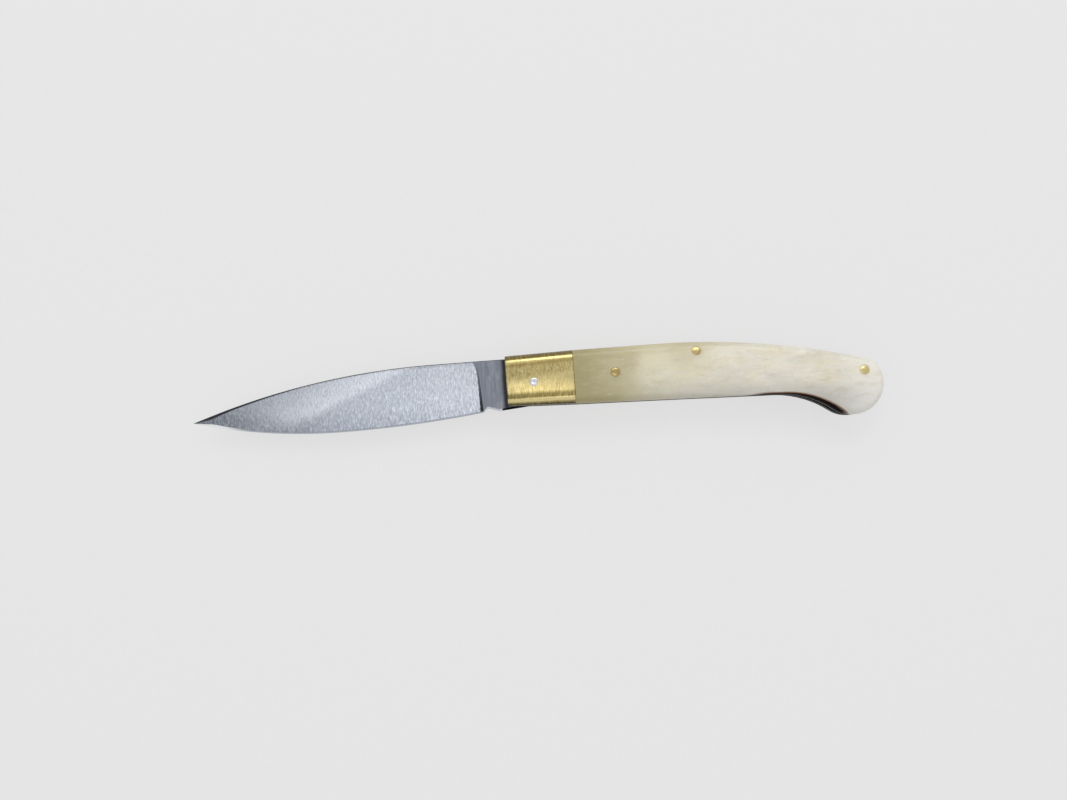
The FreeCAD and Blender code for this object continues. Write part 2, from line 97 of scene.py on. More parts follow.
class BladeFace(IntEnum):
    """The blade's kinds of face, in the order of its finishes."""

    GROUND = 0
    ROOT = 1
    EDGE = 2
    BACK = 3
    STEP = 4


def linear(colour: str) -> tuple[float, float, float, float]:
    """Turns an sRGB hex colour into the linear values that shaders take.

    Args:
        colour: The colour as six hex digits after a hash sign.

    Returns:
        Red, green, blue and alpha in linear light.
    """
    parts = [int(colour[i : i + 2], 16) / 255 for i in (1, 3, 5)]
    r, g, b = [c / 12.92 if c <= 0.04045 else ((c + 0.055) / 1.055) ** 2.4 for c in parts]
    return r, g, b, 1.0


def add_node(
    tree: Tree, kind: str, settings: dict | None = None, inputs: dict | None = None
) -> bpy.types.Node:
    """Adds one shader node with its settings, values and links.

    Args:
        tree: The node tree of a material or of the world.
        kind: The node's type name, without its prefix.
        settings: Properties of the node itself.
        inputs: Values, output sockets or nodes, by the input's name or place.

    Returns:
        The new node.
    """
    node = tree.nodes.new("ShaderNode" + kind)
    for name, value in (settings or {}).items():
        setattr(node, name, value)
    for key, value in (inputs or {}).items():
        if isinstance(value, bpy.types.Node):
            value = value.outputs[0]
        if isinstance(value, Socket):
            tree.links.new(value, node.inputs[key])
        else:
            node.inputs[key].default_value = value
    return node


def seen_rays(tree: Tree) -> Socket:
    """Gives 1 for what the camera sees, straight or in a gloss, and 0 for light on its way to a piece.

    Args:
        tree: The node tree of a material or of the world.

    Returns:
        The socket that holds the answer.
    """
    rays = add_node(tree, "LightPath").outputs
    seen = rays["Is Camera Ray"]
    for kind in ("Is Glossy Ray", "Is Transmission Ray"):
        seen = add_node(tree, "Math", {"operation": "MAXIMUM"}, {0: seen, 1: rays[kind]}).outputs[0]
    return seen


def lay_over(tree: Tree, under: Colour, colour: str, value: Socket, limits: dict[str, float]) -> Socket:
    """Lays one colour over another, as much as a value between two limits says.

    Args:
        tree: The material's nodes.
        under: The colour below.
        colour: The colour on top.
        value: What says how much of it shows.
        limits: The ends of the value and of the share that shows.

    Returns:
        The new colour.
    """
    shown = add_node(tree, "MapRange", {"interpolation_type": "SMOOTHSTEP"}, {"Value": value} | limits)
    # A mix of colours takes them in its inputs 6 and 7, and gives the result in its output 2
    mixed = add_node(tree, "Mix", {"data_type": "RGBA"}, {0: shown, 6: under, 7: linear(colour)})
    return mixed.outputs[2]


@dataclass(frozen=True)
class Marks:
    """One layer of marks or clouds on a surface.

    It holds the marks' colour, the length of one along x, y and z in millimetres, and how much of them shows.
    """

    colour: str
    size: Triple
    share: float
    start: float = 0.4
    full: float = 0.7
    detail: float = 2.0
    shift: float = 0.0

    def lay(self, tree: Tree, place: Socket, under: Colour) -> tuple[Socket, Socket]:
        """Lays the marks over a colour.

        Args:
            tree: The material's nodes.
            place: The place on the piece in metres.
            under: The colour below.

        Returns:
            The new colour, and the marks' height for roughness and relief.
        """
        scale = [1 / (length * MM) for length in self.size]
        values = {"Vector": place, "Scale": scale, "Location": (self.shift,) * 3}
        laid = add_node(tree, "Mapping", None, values)
        values = {"Vector": laid, "Scale": 1.0, "Detail": self.detail}
        height = add_node(tree, "TexNoise", None, values).outputs[0]
        limits = {"From Min": self.start, "From Max": self.full, "To Max": self.share}
        return lay_over(tree, under, self.colour, height, limits), height


@dataclass(frozen=True)
class Zone:
    """A part of a piece with a colour of its own, which fades out along a direction.

    The guide is that direction. Start and end are places along it, in millimetres of the CAD frame, where the
    colour has its full share and where it is gone. The border wanders, in waves as long as the cloud.
    """

    colour: str
    guide: Point
    start: float
    end: float
    share: float
    wander: float = 0.0
    cloud: float = 8.0
    detail: float = 2.0

    def reach(self, tree: Tree, place: Socket) -> Socket:
        """Gives how far a place lies along the direction."""
        along = {0: place, 1: (*self.guide, 0.0)}
        return add_node(tree, "VectorMath", {"operation": "DOT_PRODUCT"}, along).outputs["Value"]

    def lay(self, tree: Tree, place: Socket, under: Socket) -> Socket:
        """Lays the zone over a colour.

        Args:
            tree: The material's nodes.
            place: The place on the piece in metres.
            under: The colour below.

        Returns:
            The new colour.
        """
        values = {"Vector": place, "Scale": 1 / ((self.cloud or self.end) * MM), "Detail": self.detail}
        noise = add_node(tree, "TexNoise", None, values)
        moved = {0: noise.outputs["Color"], 1: (self.wander * MM,) * 3, 2: place}
        strayed = add_node(tree, "VectorMath", {"operation": "MULTIPLY_ADD"}, moved)
        limits = {"From Min": self.start * MM, "From Max": self.end * MM, "To Min": self.share, "To Max": 0.0}
        return lay_over(tree, under, self.colour, self.reach(tree, strayed.outputs[0]), limits)


@dataclass(frozen=True)
class Spot(Zone):
    """A round stain: the guide is its middle, and start and end are radii.

    Without a cloud, the waves of its border are as long as the outer radius.
    """

    wander: float = 0.5
    cloud: float = 0.0
    detail: float = 3.0

    def reach(self, tree: Tree, place: Socket) -> Socket:
        """Gives how far a place lies from the middle, seen from above.

        Args:
            tree: The material's nodes.
            place: The place in metres.

        Returns:
            The distance in metres.
        """
        level = add_node(tree, "VectorMath", {"operation": "MULTIPLY"}, {0: place, 1: (1.0, 1.0, 0.0)})
        middle = [(m + self.wander / 2) * MM for m in self.guide] + [0.0]
        away = add_node(tree, "VectorMath", {"operation": "DISTANCE"}, {0: level, 1: middle})
        return away.outputs["Value"]


@dataclass(frozen=True)
class Finish:
    """A finish, named for its material and for how its surface was made.

    Zones lie over the marks, and the grain over both. The first marks also vary the roughness and raise the
    relief, whose depth is in millimetres.
    """

    name: str
    colour: str
    roughness: float
    marks: tuple[Marks, ...]
    zones: tuple[Zone, ...] = ()
    grain: tuple[Marks, ...] = ()
    metallic: float = 1.0
    depth: float = 0.01
    strength: float = 0.5
    spread: float = 0.08

    def make(self) -> bpy.types.Material:
        """Builds the material.

        Returns:
            The material.
        """
        material = bpy.data.materials.new(self.name)
        material.use_nodes = True
        tree = material.node_tree
        shader = tree.nodes["Principled BSDF"]
        place = add_node(tree, "TexCoord").outputs["Object"]
        colour, height = self.marks[0].lay(tree, place, linear(self.colour))
        for layer in self.marks[1:]:
            colour = layer.lay(tree, place, colour)[0]
        for zone in self.zones:
            colour = zone.lay(tree, place, colour)
        for layer in self.grain:
            colour = layer.lay(tree, place, colour)[0]
        limits = {"Value": height, "From Min": MARKS_LOW, "From Max": MARKS_HIGH}
        ends = {"To Min": self.roughness - self.spread, "To Max": self.roughness + self.spread}
        rough = add_node(tree, "MapRange", None, limits | ends)
        values = {"Height": height, "Distance": self.depth * MM, "Strength": self.strength}
        raised = add_node(tree, "Bump", None, values)
        tree.links.new(colour, shader.inputs["Base Color"])
        tree.links.new(rough.outputs[0], shader.inputs["Roughness"])
        tree.links.new(raised.outputs[0], shader.inputs["Normal"])
        shader.inputs["Metallic"].default_value = self.metallic
        self.tune(shader)
        return material

    def tune(self, shader: bpy.types.Node) -> None:
        """Sets what only this kind of finish has."""


@dataclass(frozen=True)
class Bone(Finish):
    """A finish of bone: light goes a little way in, and the polish has a waxy gloss."""

    metallic: float = 0.0
    ior: float = 1.54
    gloss: float = 0.5
    inside: float = 0.12
    reach: Triple = (1.0, 0.8, 0.55)
    reach_scale: float = 1.2

    def tune(self, shader: bpy.types.Node) -> None:
        """Sets the bone's gloss and how far light goes into it.

        Args:
            shader: The material's shader.
        """
        inside = {"Weight": self.inside, "Radius": self.reach, "Scale": self.reach_scale * MM}
        for name, value in inside.items():
            shader.inputs["Subsurface " + name].default_value = value
        shader.inputs["IOR"].default_value = self.ior
        shader.inputs["Specular IOR Level"].default_value = self.gloss


@dataclass(frozen=True)
class Paper(Finish):
    """A finish of paper: hardly any gloss, and a part of what is seen of it stays pale under a shadow."""

    metallic: float = 0.0
    gloss: float = 0.1
    pale: str = "#e6e6e6"
    pale_share: float = 0.82

    def tune(self, shader: bpy.types.Node) -> None:
        """Takes most of the gloss away and pales what is seen.

        Args:
            shader: The material's shader.
        """
        tree = shader.id_data
        shader.inputs["Specular IOR Level"].default_value = self.gloss
        shader.inputs["Emission Color"].default_value = linear(self.pale)
        share = add_node(tree, "Math", {"operation": "MULTIPLY"}, {0: seen_rays(tree), 1: self.pale_share})
        base = shader.inputs["Base Color"]
        colours = {0: share, 6: base.links[0].from_socket, 7: (0, 0, 0, 1)}
        dimmed = add_node(tree, "Mix", {"data_type": "RGBA"}, colours)
        tree.links.new(dimmed.outputs[2], base)
        tree.links.new(share.outputs[0], shader.inputs["Emission Strength"])


# Belt lines from back to edge, about 0.05 mm apart, drawn 0.34 to 0.4 mm wide so that they show, with a fine
# sparkle and a few dark pits. The changes of tone are painted reflection and shade: a lighter diagonal band,
# a lighter heel, and a darker point and lower edge
GROUND_STEEL = Finish(
    "carbon_steel_belt_ground", "#a9aeb8", 0.3,
    (
        Marks("#959aa5", (0.4, 2.2, 2.2), 0.45, 0.36, 0.68, 3.0),
        Marks("#a5aab5", (16.0, 6.0, 6.0), 0.35, 0.42, 0.7, 2.0, 7.0),
    ),
    (
        # Painted reflection and shade: a lighter diagonal band, a lighter heel, a darker lower edge and point
        Zone("#d6dbe3", (-0.384, 0.923), 25.0, 36.0, 0.6, 1.6, 5.0),
        Zone("#8b919d", (-0.384, 0.923), 23.0, 25.6, 0.6, 1.8, 3.0),
        Zone("#7f8592", (0.35, 0.94), -29.7, -24.2, 0.6, 2.0, 6.0),
        Zone("#adb1b9", (-1.0, 0.0), 17.0, 40.0, 0.6, 5.0, 8.0),
        Zone("#838995", (0.0, 1.0), -5.6, 1.8, 0.6, 0.8, 4.0),
        Zone("#7a7f8a", (1.0, 0.25), -96.0, -60.0, 0.75, 12.0, 14.0),
        Zone("#5d6068", (1.0, 0.3), -94.0, -80.0, 0.55, 4.0, 6.0),
    ),
    (
        Marks("#dde0e5", (0.34, 1.1, 1.1), 0.38, 0.38, 0.72, 2.0, 3.0),
        Marks("#7d828d", (0.34, 1.0, 1.0), 0.42, 0.4, 0.74, 2.0, 23.0),
        Marks("#50545c", (0.6, 0.6, 0.6), 0.7, 0.72, 0.78, 1.0, 31.0),
    ),
    depth=0.012,
)
# The root keeps the smooth face of the rolled bar with drawn streaks, darker partly as painted shade; the
# black strip along the collar is a painted shadow
ROLLED_ROOT = Finish(
    "carbon_steel_rolled_face", "#797d87", 0.34,
    (
        Marks("#8d929b", (0.6, 7.0, 7.0), 0.45, 0.42, 0.7, 3.0),
        Marks("#6b6f79", (1.2, 9.0, 9.0), 0.45, 0.45, 0.7, 3.0, 5.0),
        Marks("#a5a9b2", (2.2, 4.5, 4.5), 0.35, 0.5, 0.75, 2.0, 11.0),
    ),
    # Painted shadow: a black strip on the root along the collar's mouth
    (Zone("#202126", (-1.0, 0.0), 8.6, 9.9, 0.9, 0.3, 2.0),),
    depth=0.006,
)
# The step at the end of the grind is dull, as the wheel's edge left it, and painted dark as the shade in its
# hollow, darkest near the cutting edge
WHEEL_STEP = Finish(
    "carbon_steel_wheel_step_in_painted_shade", "#7b7f89", 0.45, (Marks("#5c5f67", (0.3, 1.5, 1.5), 0.5),),
    (Zone("#3b3e45", (0.0, 1.0), -2.5, 8.0, 0.95, 0.5, 3.0),),
)
# The cutting edge is honed on a fine stone and stays a little brighter; the white strip at the point and the
# bright underside from the heel to the kick are painted highlights
HONED_EDGE = Finish(
    "carbon_steel_stone_honed", "#b9bdc5", 0.24, (Marks("#a7acb5", (0.25, 3.0, 3.0), 0.5),),
    (
        Zone("#f4f5f6", (1.0, 0.0), -90.0, -80.0, 1.0, 4.0, 5.0),
        Zone("#d3d7db", (-1.0, 0.0), 15.0, 16.0, 0.9, 0.3, 2.0),
    ),
    depth=0.004,
)
# The back and the underside behind the kick are painted dark as shade and dark reflection, and the tang
# under the collar painted black as the shade under the collar
BACK_IN_PAINTED_SHADE = Finish(
    "carbon_steel_back_in_painted_shade", "#3a3c41", 0.5, (Marks("#26282c", (1.2, 0.5, 0.5), 0.7),),
    # Painted shade: the tang under the collar black
    (Zone("#0d0c0b", (-1.0, 1.0), 6.0, 7.5, 0.97, 0.3, 2.0),), depth=0.02,
)
# Brush lines across the collar, about 0.08 mm apart, drawn 0.34 to 0.6 mm wide so that they show. Bands of
# painted
# reflection run along the cheeks: dark and bright lines at the top, a broad bright band low down, a dark band
# and a bright line above the lower round, and a black lower edge in painted shade
BRUSHED_BRASS = Finish(
    "brass_filed_and_brushed", "#c8b680", 0.25,
    (
        Marks("#93834f", (0.34, 3.0, 3.0), 0.65, 0.36, 0.68, 3.0),
        Marks("#e6d89e", (0.45, 1.3, 1.3), 0.5, 0.46, 0.74, 2.0, 9.0),
        Marks("#75673f", (0.6, 0.8, 0.8), 0.5, 0.5, 0.76, 3.0, 15.0),
        Marks("#857650", (4.0, 2.2, 3.0), 0.3, 0.5, 0.75, 3.0, 5.0),
    ),
    # Painted reflection and shade in bands along the cheeks, from the bright band low down to the black lower
    # edge
    (
        Zone("#e0d196", (-0.07, 1.0), 5.0, 6.6, 0.4, 0.4, 3.0),
        Zone("#b09e68", (-0.04, 1.0), 2.2, 4.2, 0.4, 0.4, 3.0),
        Zone("#8a7742", (0.04, -1.0), -9.2, -8.2, 0.7, 0.4, 3.0),
        Zone("#c6b67e", (0.04, -1.0), -10.1, -9.4, 0.9, 0.3, 3.0),
        Zone("#75673d", (0.04, -1.0), -11.0, -10.4, 0.9, 0.3, 3.0),
        Zone("#5c5029", (0.01, 1.0), 0.42, 1.72, 0.85, 0.4, 3.0),
        Zone("#e9d89e", (0.02, 1.0), -0.8, -0.3, 0.95, 0.3, 3.0),
        Zone("#7a6b3e", (0.025, 1.0), -1.94, -1.34, 0.8, 0.3, 3.0),
        Zone("#2e2513", (0.035, 1.0), -2.35, -1.85, 0.92, 0.2, 3.0),
    ),
    (
        Marks("#d9c98c", (0.4, 2.4, 2.4), 0.24, 0.46, 0.72, 3.0, 27.0),
        Marks("#5f5330", (0.5, 1.6, 1.6), 0.24, 0.46, 0.74, 2.0, 33.0),
    ),
    depth=0.014,
)
# Sawn along its grain and polished: ivory with long clouds, fine pores and grain lines, drawn 0.35 mm wide so
# that they show. The end at the collar has an olive tint from the brass, the top edge is darker olive, and a
# thin stain lies around each pin. The lower half is painted greyer as shade, the butt painted paler and less
# yellow, partly as painted light against the shade of its round end, and the hook painted brown to black as
# the shade of its wall and slot
POLISHED_BONE = Bone(
    "bone_sawn_and_polished", "#dcd8ca", 0.34,
    (
        Marks("#bdb49c", (5.0, 0.35, 0.6), 0.3, 0.45, 0.75, 3.0, 13.0),
        Marks("#c5c2b8", (12.0, 4.0, 6.0), 0.75, 0.32, 0.74),
        Marks("#d8ceaf", (7.0, 2.8, 5.0), 0.6, 0.4, 0.76, 3.0, 4.0),
        Marks("#d9cdc0", (5.0, 3.0, 5.0), 0.15, 0.44, 0.76, 2.0, 9.0),
        Marks("#e8e6dd", (2.4, 1.2, 2.0), 0.3, 0.46, 0.78, 4.0, 21.0),
        Marks("#9c907a", (1.2, 0.4, 0.4), 0.3, 0.66, 0.8, 1.0, 17.0),
    ),
    (
        # Painted shade: greyer towards the lower edge
        Zone("#aaa9a6", (0.075, 1.0), 0.3, 8.5, 0.75, 3.0, 9.0),
        # Paler, less yellow butt, partly painted light against the shade of its round end
        Zone("#e6e4de", (-1.0, 0.3), -99.0, -86.0, 0.6, 2.0, 6.0),
        Zone("#cdc49d", (1.0, -0.6), 16.0, 66.0, 0.55, 9.0, 10.0),
        Zone("#b0a780", (0.04, -1.0), -9.8, -7.0, 0.5, 0.8, 5.0),
        Zone("#978d62", (1.0, 0.2), 16.0, 46.0, 0.95, 9.0, 9.0),
        Spot("#9a8a66", (26.75, 6.9), 0.0, 6.0, 0.3, 4.0),
        Spot("#b0a47c", (44.5, 9.5), 2.0, 9.0, 0.32, 3.0),
        Spot("#8f8160", (22.95, 4.825), 1.3, 1.75, 0.6),
        Spot("#b3a889", (46.4, 9.175), 1.3, 1.75, 0.6),
        Spot("#b3a889", (93.75, 0.175), 1.3, 1.75, 0.6),
        # Painted shade in the hook: a brown wall and a black slot along its edge
        Spot("#7a5334", (65.65, -31.645), 27.35, 27.8, 0.6, 0.2),
        Spot("#7a5334", (69.85, -32.15), 27.6, 28.0, 0.9, 0.4),
        Spot("#0d0b0a", (65.65, -31.645), 27.05, 27.5, 0.95, 0.2),
        Spot("#0d0b0a", (69.85, -32.15), 27.35, 27.65, 0.98, 0.4),
    ),
    (
        Marks("#8a7c55", (4.0, 1.6, 1.6), 0.16, 0.5, 0.74, 4.0, 41.0),
        Marks("#f0ede3", (2.6, 0.9, 0.9), 0.09, 0.52, 0.76, 4.0, 53.0),
        Marks("#8a7d62", (0.7, 0.28, 0.28), 0.22, 0.6, 0.78, 2.0, 61.0),
    ),
    depth=0.006, strength=0.35, gloss=0.4,
)
# The same bone as the saw left it, on the edges towards the slot and in the hook: rougher, and without gloss,
# so that the painted shade of the hook stays black
SAWN_BONE = replace(
    POLISHED_BONE, name="bone_sawn_with_painted_shade", roughness=0.8, grain=(), depth=0.03, gloss=0.03
)
# Rolled strip, filed at its edges: dull dark grey with brown patches
ROLLED_STRIP = Finish(
    "mild_steel_rolled_strip", "#4c4d51", 0.42,
    (
        Marks("#3f4043", (6.0, 0.25, 0.25), 0.6),
        Marks("#2e2822", (5.0, 2.5, 2.5), 0.85, 0.35, 0.65, 3.0, 5.0),
    ),
)
# Wire, peened and filed flush: a small bright disc with a few file strokes, drawn 0.16 mm wide
BRASS_WIRE = Finish(
    "brass_wire_filed_flush", "#c4b27a", 0.26, (Marks("#7f6f44", (0.9, 0.16, 0.4), 0.55),),
    # Painted reflection and shade: the front pins darker, the rear pin lighter
    (
        Zone("#9c8a55", (1.0, 0.0), 24.0, 30.0, 0.55, 0.5, 3.0),
        Zone("#dccb90", (-1.0, 0.0), -90.0, -80.0, 0.7),
    ),
)
# The pivot is steel wire, peened and filed in the same way: a pale, cool disc
STEEL_WIRE = Finish("steel_wire_filed_flush", "#d6d8e2", 0.28, (Marks("#94969e", (0.5, 0.4, 0.4), 0.5),))
# Rolled sheet, punched to a disc: warm brown with faint rolling lines
BRONZE_SHEET = Finish("bronze_rolled_sheet", "#9c7747", 0.35, (Marks("#6d5230", (3.0, 0.2, 0.2), 0.6),))
# A photographer's paper: matte and pale, with the faintest tooth
MATTE_PAPER = Paper(
    "paper_matte_pale", "#dfdfdf", 0.9, (Marks("#dbdbdb", (0.6, 0.6, 0.6), 0.5),), strength=0.2
)


@dataclass
class Workshop:
    """Turns points around the pivot, in millimetres, into pieces that ride on the CAD frame."""

    pivot: Vector

    def to_frame(self, points: Array) -> Array:
        """Gives points around the pivot as metres of the CAD frame."""
        return points * MM + np.array(self.pivot)

    def piece(
        self, name: str, points: Array, faces: list[list[int]],
        finishes: list[bpy.types.Material], choice: list[int] | None = None,
    ) -> bpy.types.Object:
        """Makes one closed mesh.

        Args:
            name: The piece's name.
            points: Points around the pivot in millimetres.
            faces: Corners of each face as places in points.
            finishes: The piece's materials.
            choice: Each face's place in finishes, where there is more than one.

        Returns:
            The new object.
        """
        mesh = bpy.data.meshes.new(name)
        mesh.from_pydata(self.to_frame(points).tolist(), [], faces)
        for finish in finishes:
            mesh.materials.append(finish)
        if choice is not None:
            mesh.polygons.foreach_set("material_index", choice)
        shell = bmesh.new()
        shell.from_mesh(mesh)
        bmesh.ops.remove_doubles(shell, verts=shell.verts, dist=WELD)
        bmesh.ops.dissolve_degenerate(shell, edges=shell.edges, dist=WELD)
        bmesh.ops.recalc_face_normals(shell, faces=shell.faces)
        shell.to_mesh(mesh)
        shell.free()
        mesh.polygons.foreach_set("use_smooth", [True] * len(mesh.polygons))
        mesh.set_sharp_from_angle(angle=SHARP_ANGLE)
        made = bpy.data.objects.new(name, mesh)
        bpy.context.scene.collection.objects.link(made)
        return made

    def mount(self, made: bpy.types.Object, body: Body, slot: Slot, *nodes: str) -> None:
        """Lets a piece stand for its CAD nodes and ride on a body.

        Args:
            made: The piece.
            body: The body that carries it.
            slot: The record's material slot; not used.
            nodes: The CAD nodes that the piece stands for.
        """
        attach(made, body.value)
        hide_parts(*nodes)
        LOG.info("%s stands for %s with %d faces", made.name, ", ".join(nodes), len(made.data.polygons))


def shell_between(top: Array, bottom: Array) -> tuple[Array, list[list[int]]]:
    """Closes two grids of points into one shell.

    Args:
        top: The upper grid, as rows of points.
        bottom: The lower grid, with the same rows.

    Returns:
        The points and the faces.
    """
    rows, columns = top.shape[:2]
    place = np.arange(rows * columns).reshape(rows, columns)
    below = rows * columns
    quads = np.stack([place[:-1, :-1], place[1:, :-1], place[1:, 1:], place[:-1, 1:]], axis=-1)
    faces = []
    for quad in quads.reshape(-1, 4).tolist():
        faces += [quad, [q + below for q in reversed(quad)]]
    rim = np.concatenate([place[:, 0], place[-1, 1:], place[-2::-1, -1], place[0, -2:0:-1]]).tolist()
    faces += [[b, a, a + below, b + below] for a, b in zip(rim, rim[1:] + rim[:1])]
    return np.concatenate([top.reshape(-1, 3), bottom.reshape(-1, 3)]), faces


def ring_faces(rings: int, count: int) -> list[list[int]]:
    """Joins rings of points to a tube.

    Args:
        rings: How many rings there are.
        count: How many points a ring has.

    Returns:
        Corners of each face as places in the points.
    """
    faces = []
    for a in range(0, (rings - 1) * count, count):
        for i in range(count):
            j = (i + 1) % count
            faces.append([a + i, a + j, a + count + j, a + count + i])
    return faces


def eased(count: int) -> Array:
    """Gives shares from 0 to 1 that lie closer together towards both ends."""
    return (1 - np.cos(np.linspace(0, math.pi, count))) / 2


def arch(u: Array, radius: float, middle: float = 0.0) -> Array:
    """Gives the height of an arc over its centre, and 0 beside the arc."""
    return np.sqrt(np.maximum(radius**2 - (u - middle) ** 2, 0))


@dataclass(frozen=True)
class Arc:
    """An arc or, without a radius, a straight stretch of the handle's outline, in millimetres."""

    start: Point
    end: Point
    centre: Point = (0.0, 0.0)
    radius: float = 0.0

    def over(self, u: Array) -> Array:
        """Gives the height of the arc's upper side."""
        return self.centre[1] + arch(u, self.radius, self.centre[0])

    def distance(self, u: Array, v: Array) -> Array:
        """Gives how far points lie from the stretch.

        Args:
            u: Places along the knife.
            v: Places across the knife.

        Returns:
            The distances.
        """
        (a, b), (c, d) = self.start, self.end
        if not self.radius:
            run, rise = c - a, d - b
            share = np.clip(((u - a) * run + (v - b) * rise) / (run**2 + rise**2), 0, 1)
            return np.hypot(u - a - share * run, v - b - share * rise)
        x, y = self.centre
        middle = math.atan2((b + d) / 2 - y, (a + c) / 2 - x)
        half = math.asin(min(1.0, math.hypot(c - a, d - b) / 2 / self.radius))
        turn = np.arctan2(v - y, u - x) - middle
        turn = np.abs((turn + math.pi) % (2 * math.pi) - math.pi)
        ends = np.minimum(np.hypot(u - a, v - b), np.hypot(u - c, v - d))
        return np.where(turn <= half, np.abs(np.hypot(u - x, v - y) - self.radius), ends)


@dataclass
class Handle:
    """The handle's outline and its rounded, slightly crowned faces, as the CAD has them, in millimetres."""

    seam: float = 11.55
    back: float = 8.45
    back_run: float = 35.0
    seam_drop: float = 6.95
    overlap: float = 20.0
    end: float = 100.0
    butt: Point = (91.0, -7.0)
    butt_radius: float = 9.0
    shoulder_radius: float = 2.5
    tail_share: float = 0.897
    hook: Point = (69.0, -8.5)
    outside: float = 5.94
    scale_face: float = 2.24
    liner_face: float = 1.44
    edge_round: float = 2.0
    crisp_at: tuple[float, ...] = (42.0, 57.0, 76.0, 87.0)
    crisp_round: tuple[float, ...] = (2.0, 0.4, 0.6, 2.0)
    crown: float = 0.85
    crown_reach: float = 7.6
    tail: Arc = field(init=False)
    shoulder: Arc = field(init=False)
    hollow: Arc = field(init=False)
    stretches: list[Arc] = field(init=False)

    def __post_init__(self) -> None:
        """Works out the arcs of the outline from the sizes."""
        butt_u, butt_v = self.butt
        run, fall = butt_u - self.back_run, self.back - butt_v - self.butt_radius * self.tail_share
        radius = (run**2 + fall**2) / (2 * fall)
        tail, butt = np.array([self.back_run, self.back - radius]), np.array(self.butt)
        apart = float(np.linalg.norm(butt - tail))
        along = (butt - tail) / apart
        outer, inner = radius - self.shoulder_radius, self.butt_radius - self.shoulder_radius
        foot = (outer**2 - inner**2 + apart**2) / (2 * apart)
        shoulder = tail + along * foot + np.array([along[1], -along[0]]) * math.sqrt(outer**2 - foot**2)
        tail_end = tuple(tail + (shoulder - tail) / outer * radius)
        shoulder_end = tuple(butt + (shoulder - butt) / inner * self.butt_radius)
        self.tail = Arc((self.back_run, self.back), tail_end, tuple(tail), radius)
        self.shoulder = Arc(tail_end, shoulder_end, tuple(shoulder), self.shoulder_radius)
        step, reach = butt_v - self.hook[1], butt_u - self.hook[0]
        radius = (reach**2 + step**2 - self.butt_radius**2) / (2 * (self.butt_radius - step))
        hook = np.array([self.hook[0], self.hook[1] - radius])
        hook_start = tuple(butt + (hook - butt) / np.linalg.norm(hook - butt) * self.butt_radius)
        self.hollow = Arc(hook_start, self.hook, tuple(hook), radius)
        ends = (shoulder_end, (self.end, butt_v), (butt_u, butt_v - self.butt_radius), hook_start)
        front = self.seam - self.overlap
        self.stretches = [
            Arc((front, self.back), (self.back_run, self.back)),
            self.tail,
            self.shoulder,
            *(Arc(a, b, self.butt, self.butt_radius) for a, b in zip(ends, ends[1:])),
            self.hollow,
            Arc(self.hook, (front, -self.seam_drop + self.overlap * self.slope())),
        ]

    def slope(self) -> float:
        """Gives the rise of the underside towards the collar."""
        return (-self.seam_drop - self.hook[1]) / (self.hook[0] - self.seam)

    def upper(self, u: Array) -> Array:
        """Gives the height of the handle's back.

        Args:
            u: Places along the knife.

        Returns:
            Places across the knife.
        """
        butt = self.butt[1] + arch(u, self.butt_radius, self.butt[0])
        line = np.where(u <= self.back_run, self.back, self.tail.over(u))
        line = np.where(u > self.tail.end[0], self.shoulder.over(u), line)
        return np.where(u > self.shoulder.end[0], butt, line)

    def lower(self, u: Array) -> Array:
        """Gives the height of the underside and the hook.

        Args:
            u: Places along the knife.

        Returns:
            Places across the knife.
        """
        line = self.hook[1] + (self.hook[0] - u) * self.slope()
        butt = self.butt[1] - arch(u, self.butt_radius, self.butt[0])
        rear = np.where(u < self.hollow.start[0], self.hollow.over(u), butt)
        return np.where(u <= self.hook[0], line, rear)

    def thickness(self, inward: Array, rounds: Array | float | None = None) -> Array:
        """Gives half the handle's thickness at a distance from its outline.

        Args:
            inward: Distances from the outline.
            rounds: The radius of the edge there, where it isn't the usual one.

        Returns:
            Distances from the middle plane.
        """
        rounds = self.edge_round if rounds is None else rounds
        lack = np.clip(rounds - inward, 0, rounds)
        rounding = rounds - np.sqrt(rounds**2 - lack**2)
        crown = self.crown * (1 - np.clip(inward / self.crown_reach, 0, 1)) ** 2
        return self.outside - crown - rounding

    def surface(self, u: Array, v: Array) -> Array:
        """Gives half the handle's thickness at places on a face.

        Args:
            u: Places along the knife.
            v: Places across the knife.

        Returns:
            Distances from the middle plane.
        """
        away = [stretch.distance(u, v) for stretch in self.stretches]
        hook = np.min(away[-2:], axis=0)
        inward = np.minimum(hook, np.min(away[:-2], axis=0))
        rounds = np.interp(u, self.crisp_at, self.crisp_round)
        return self.thickness(inward, np.where(hook <= inward, rounds, self.edge_round))


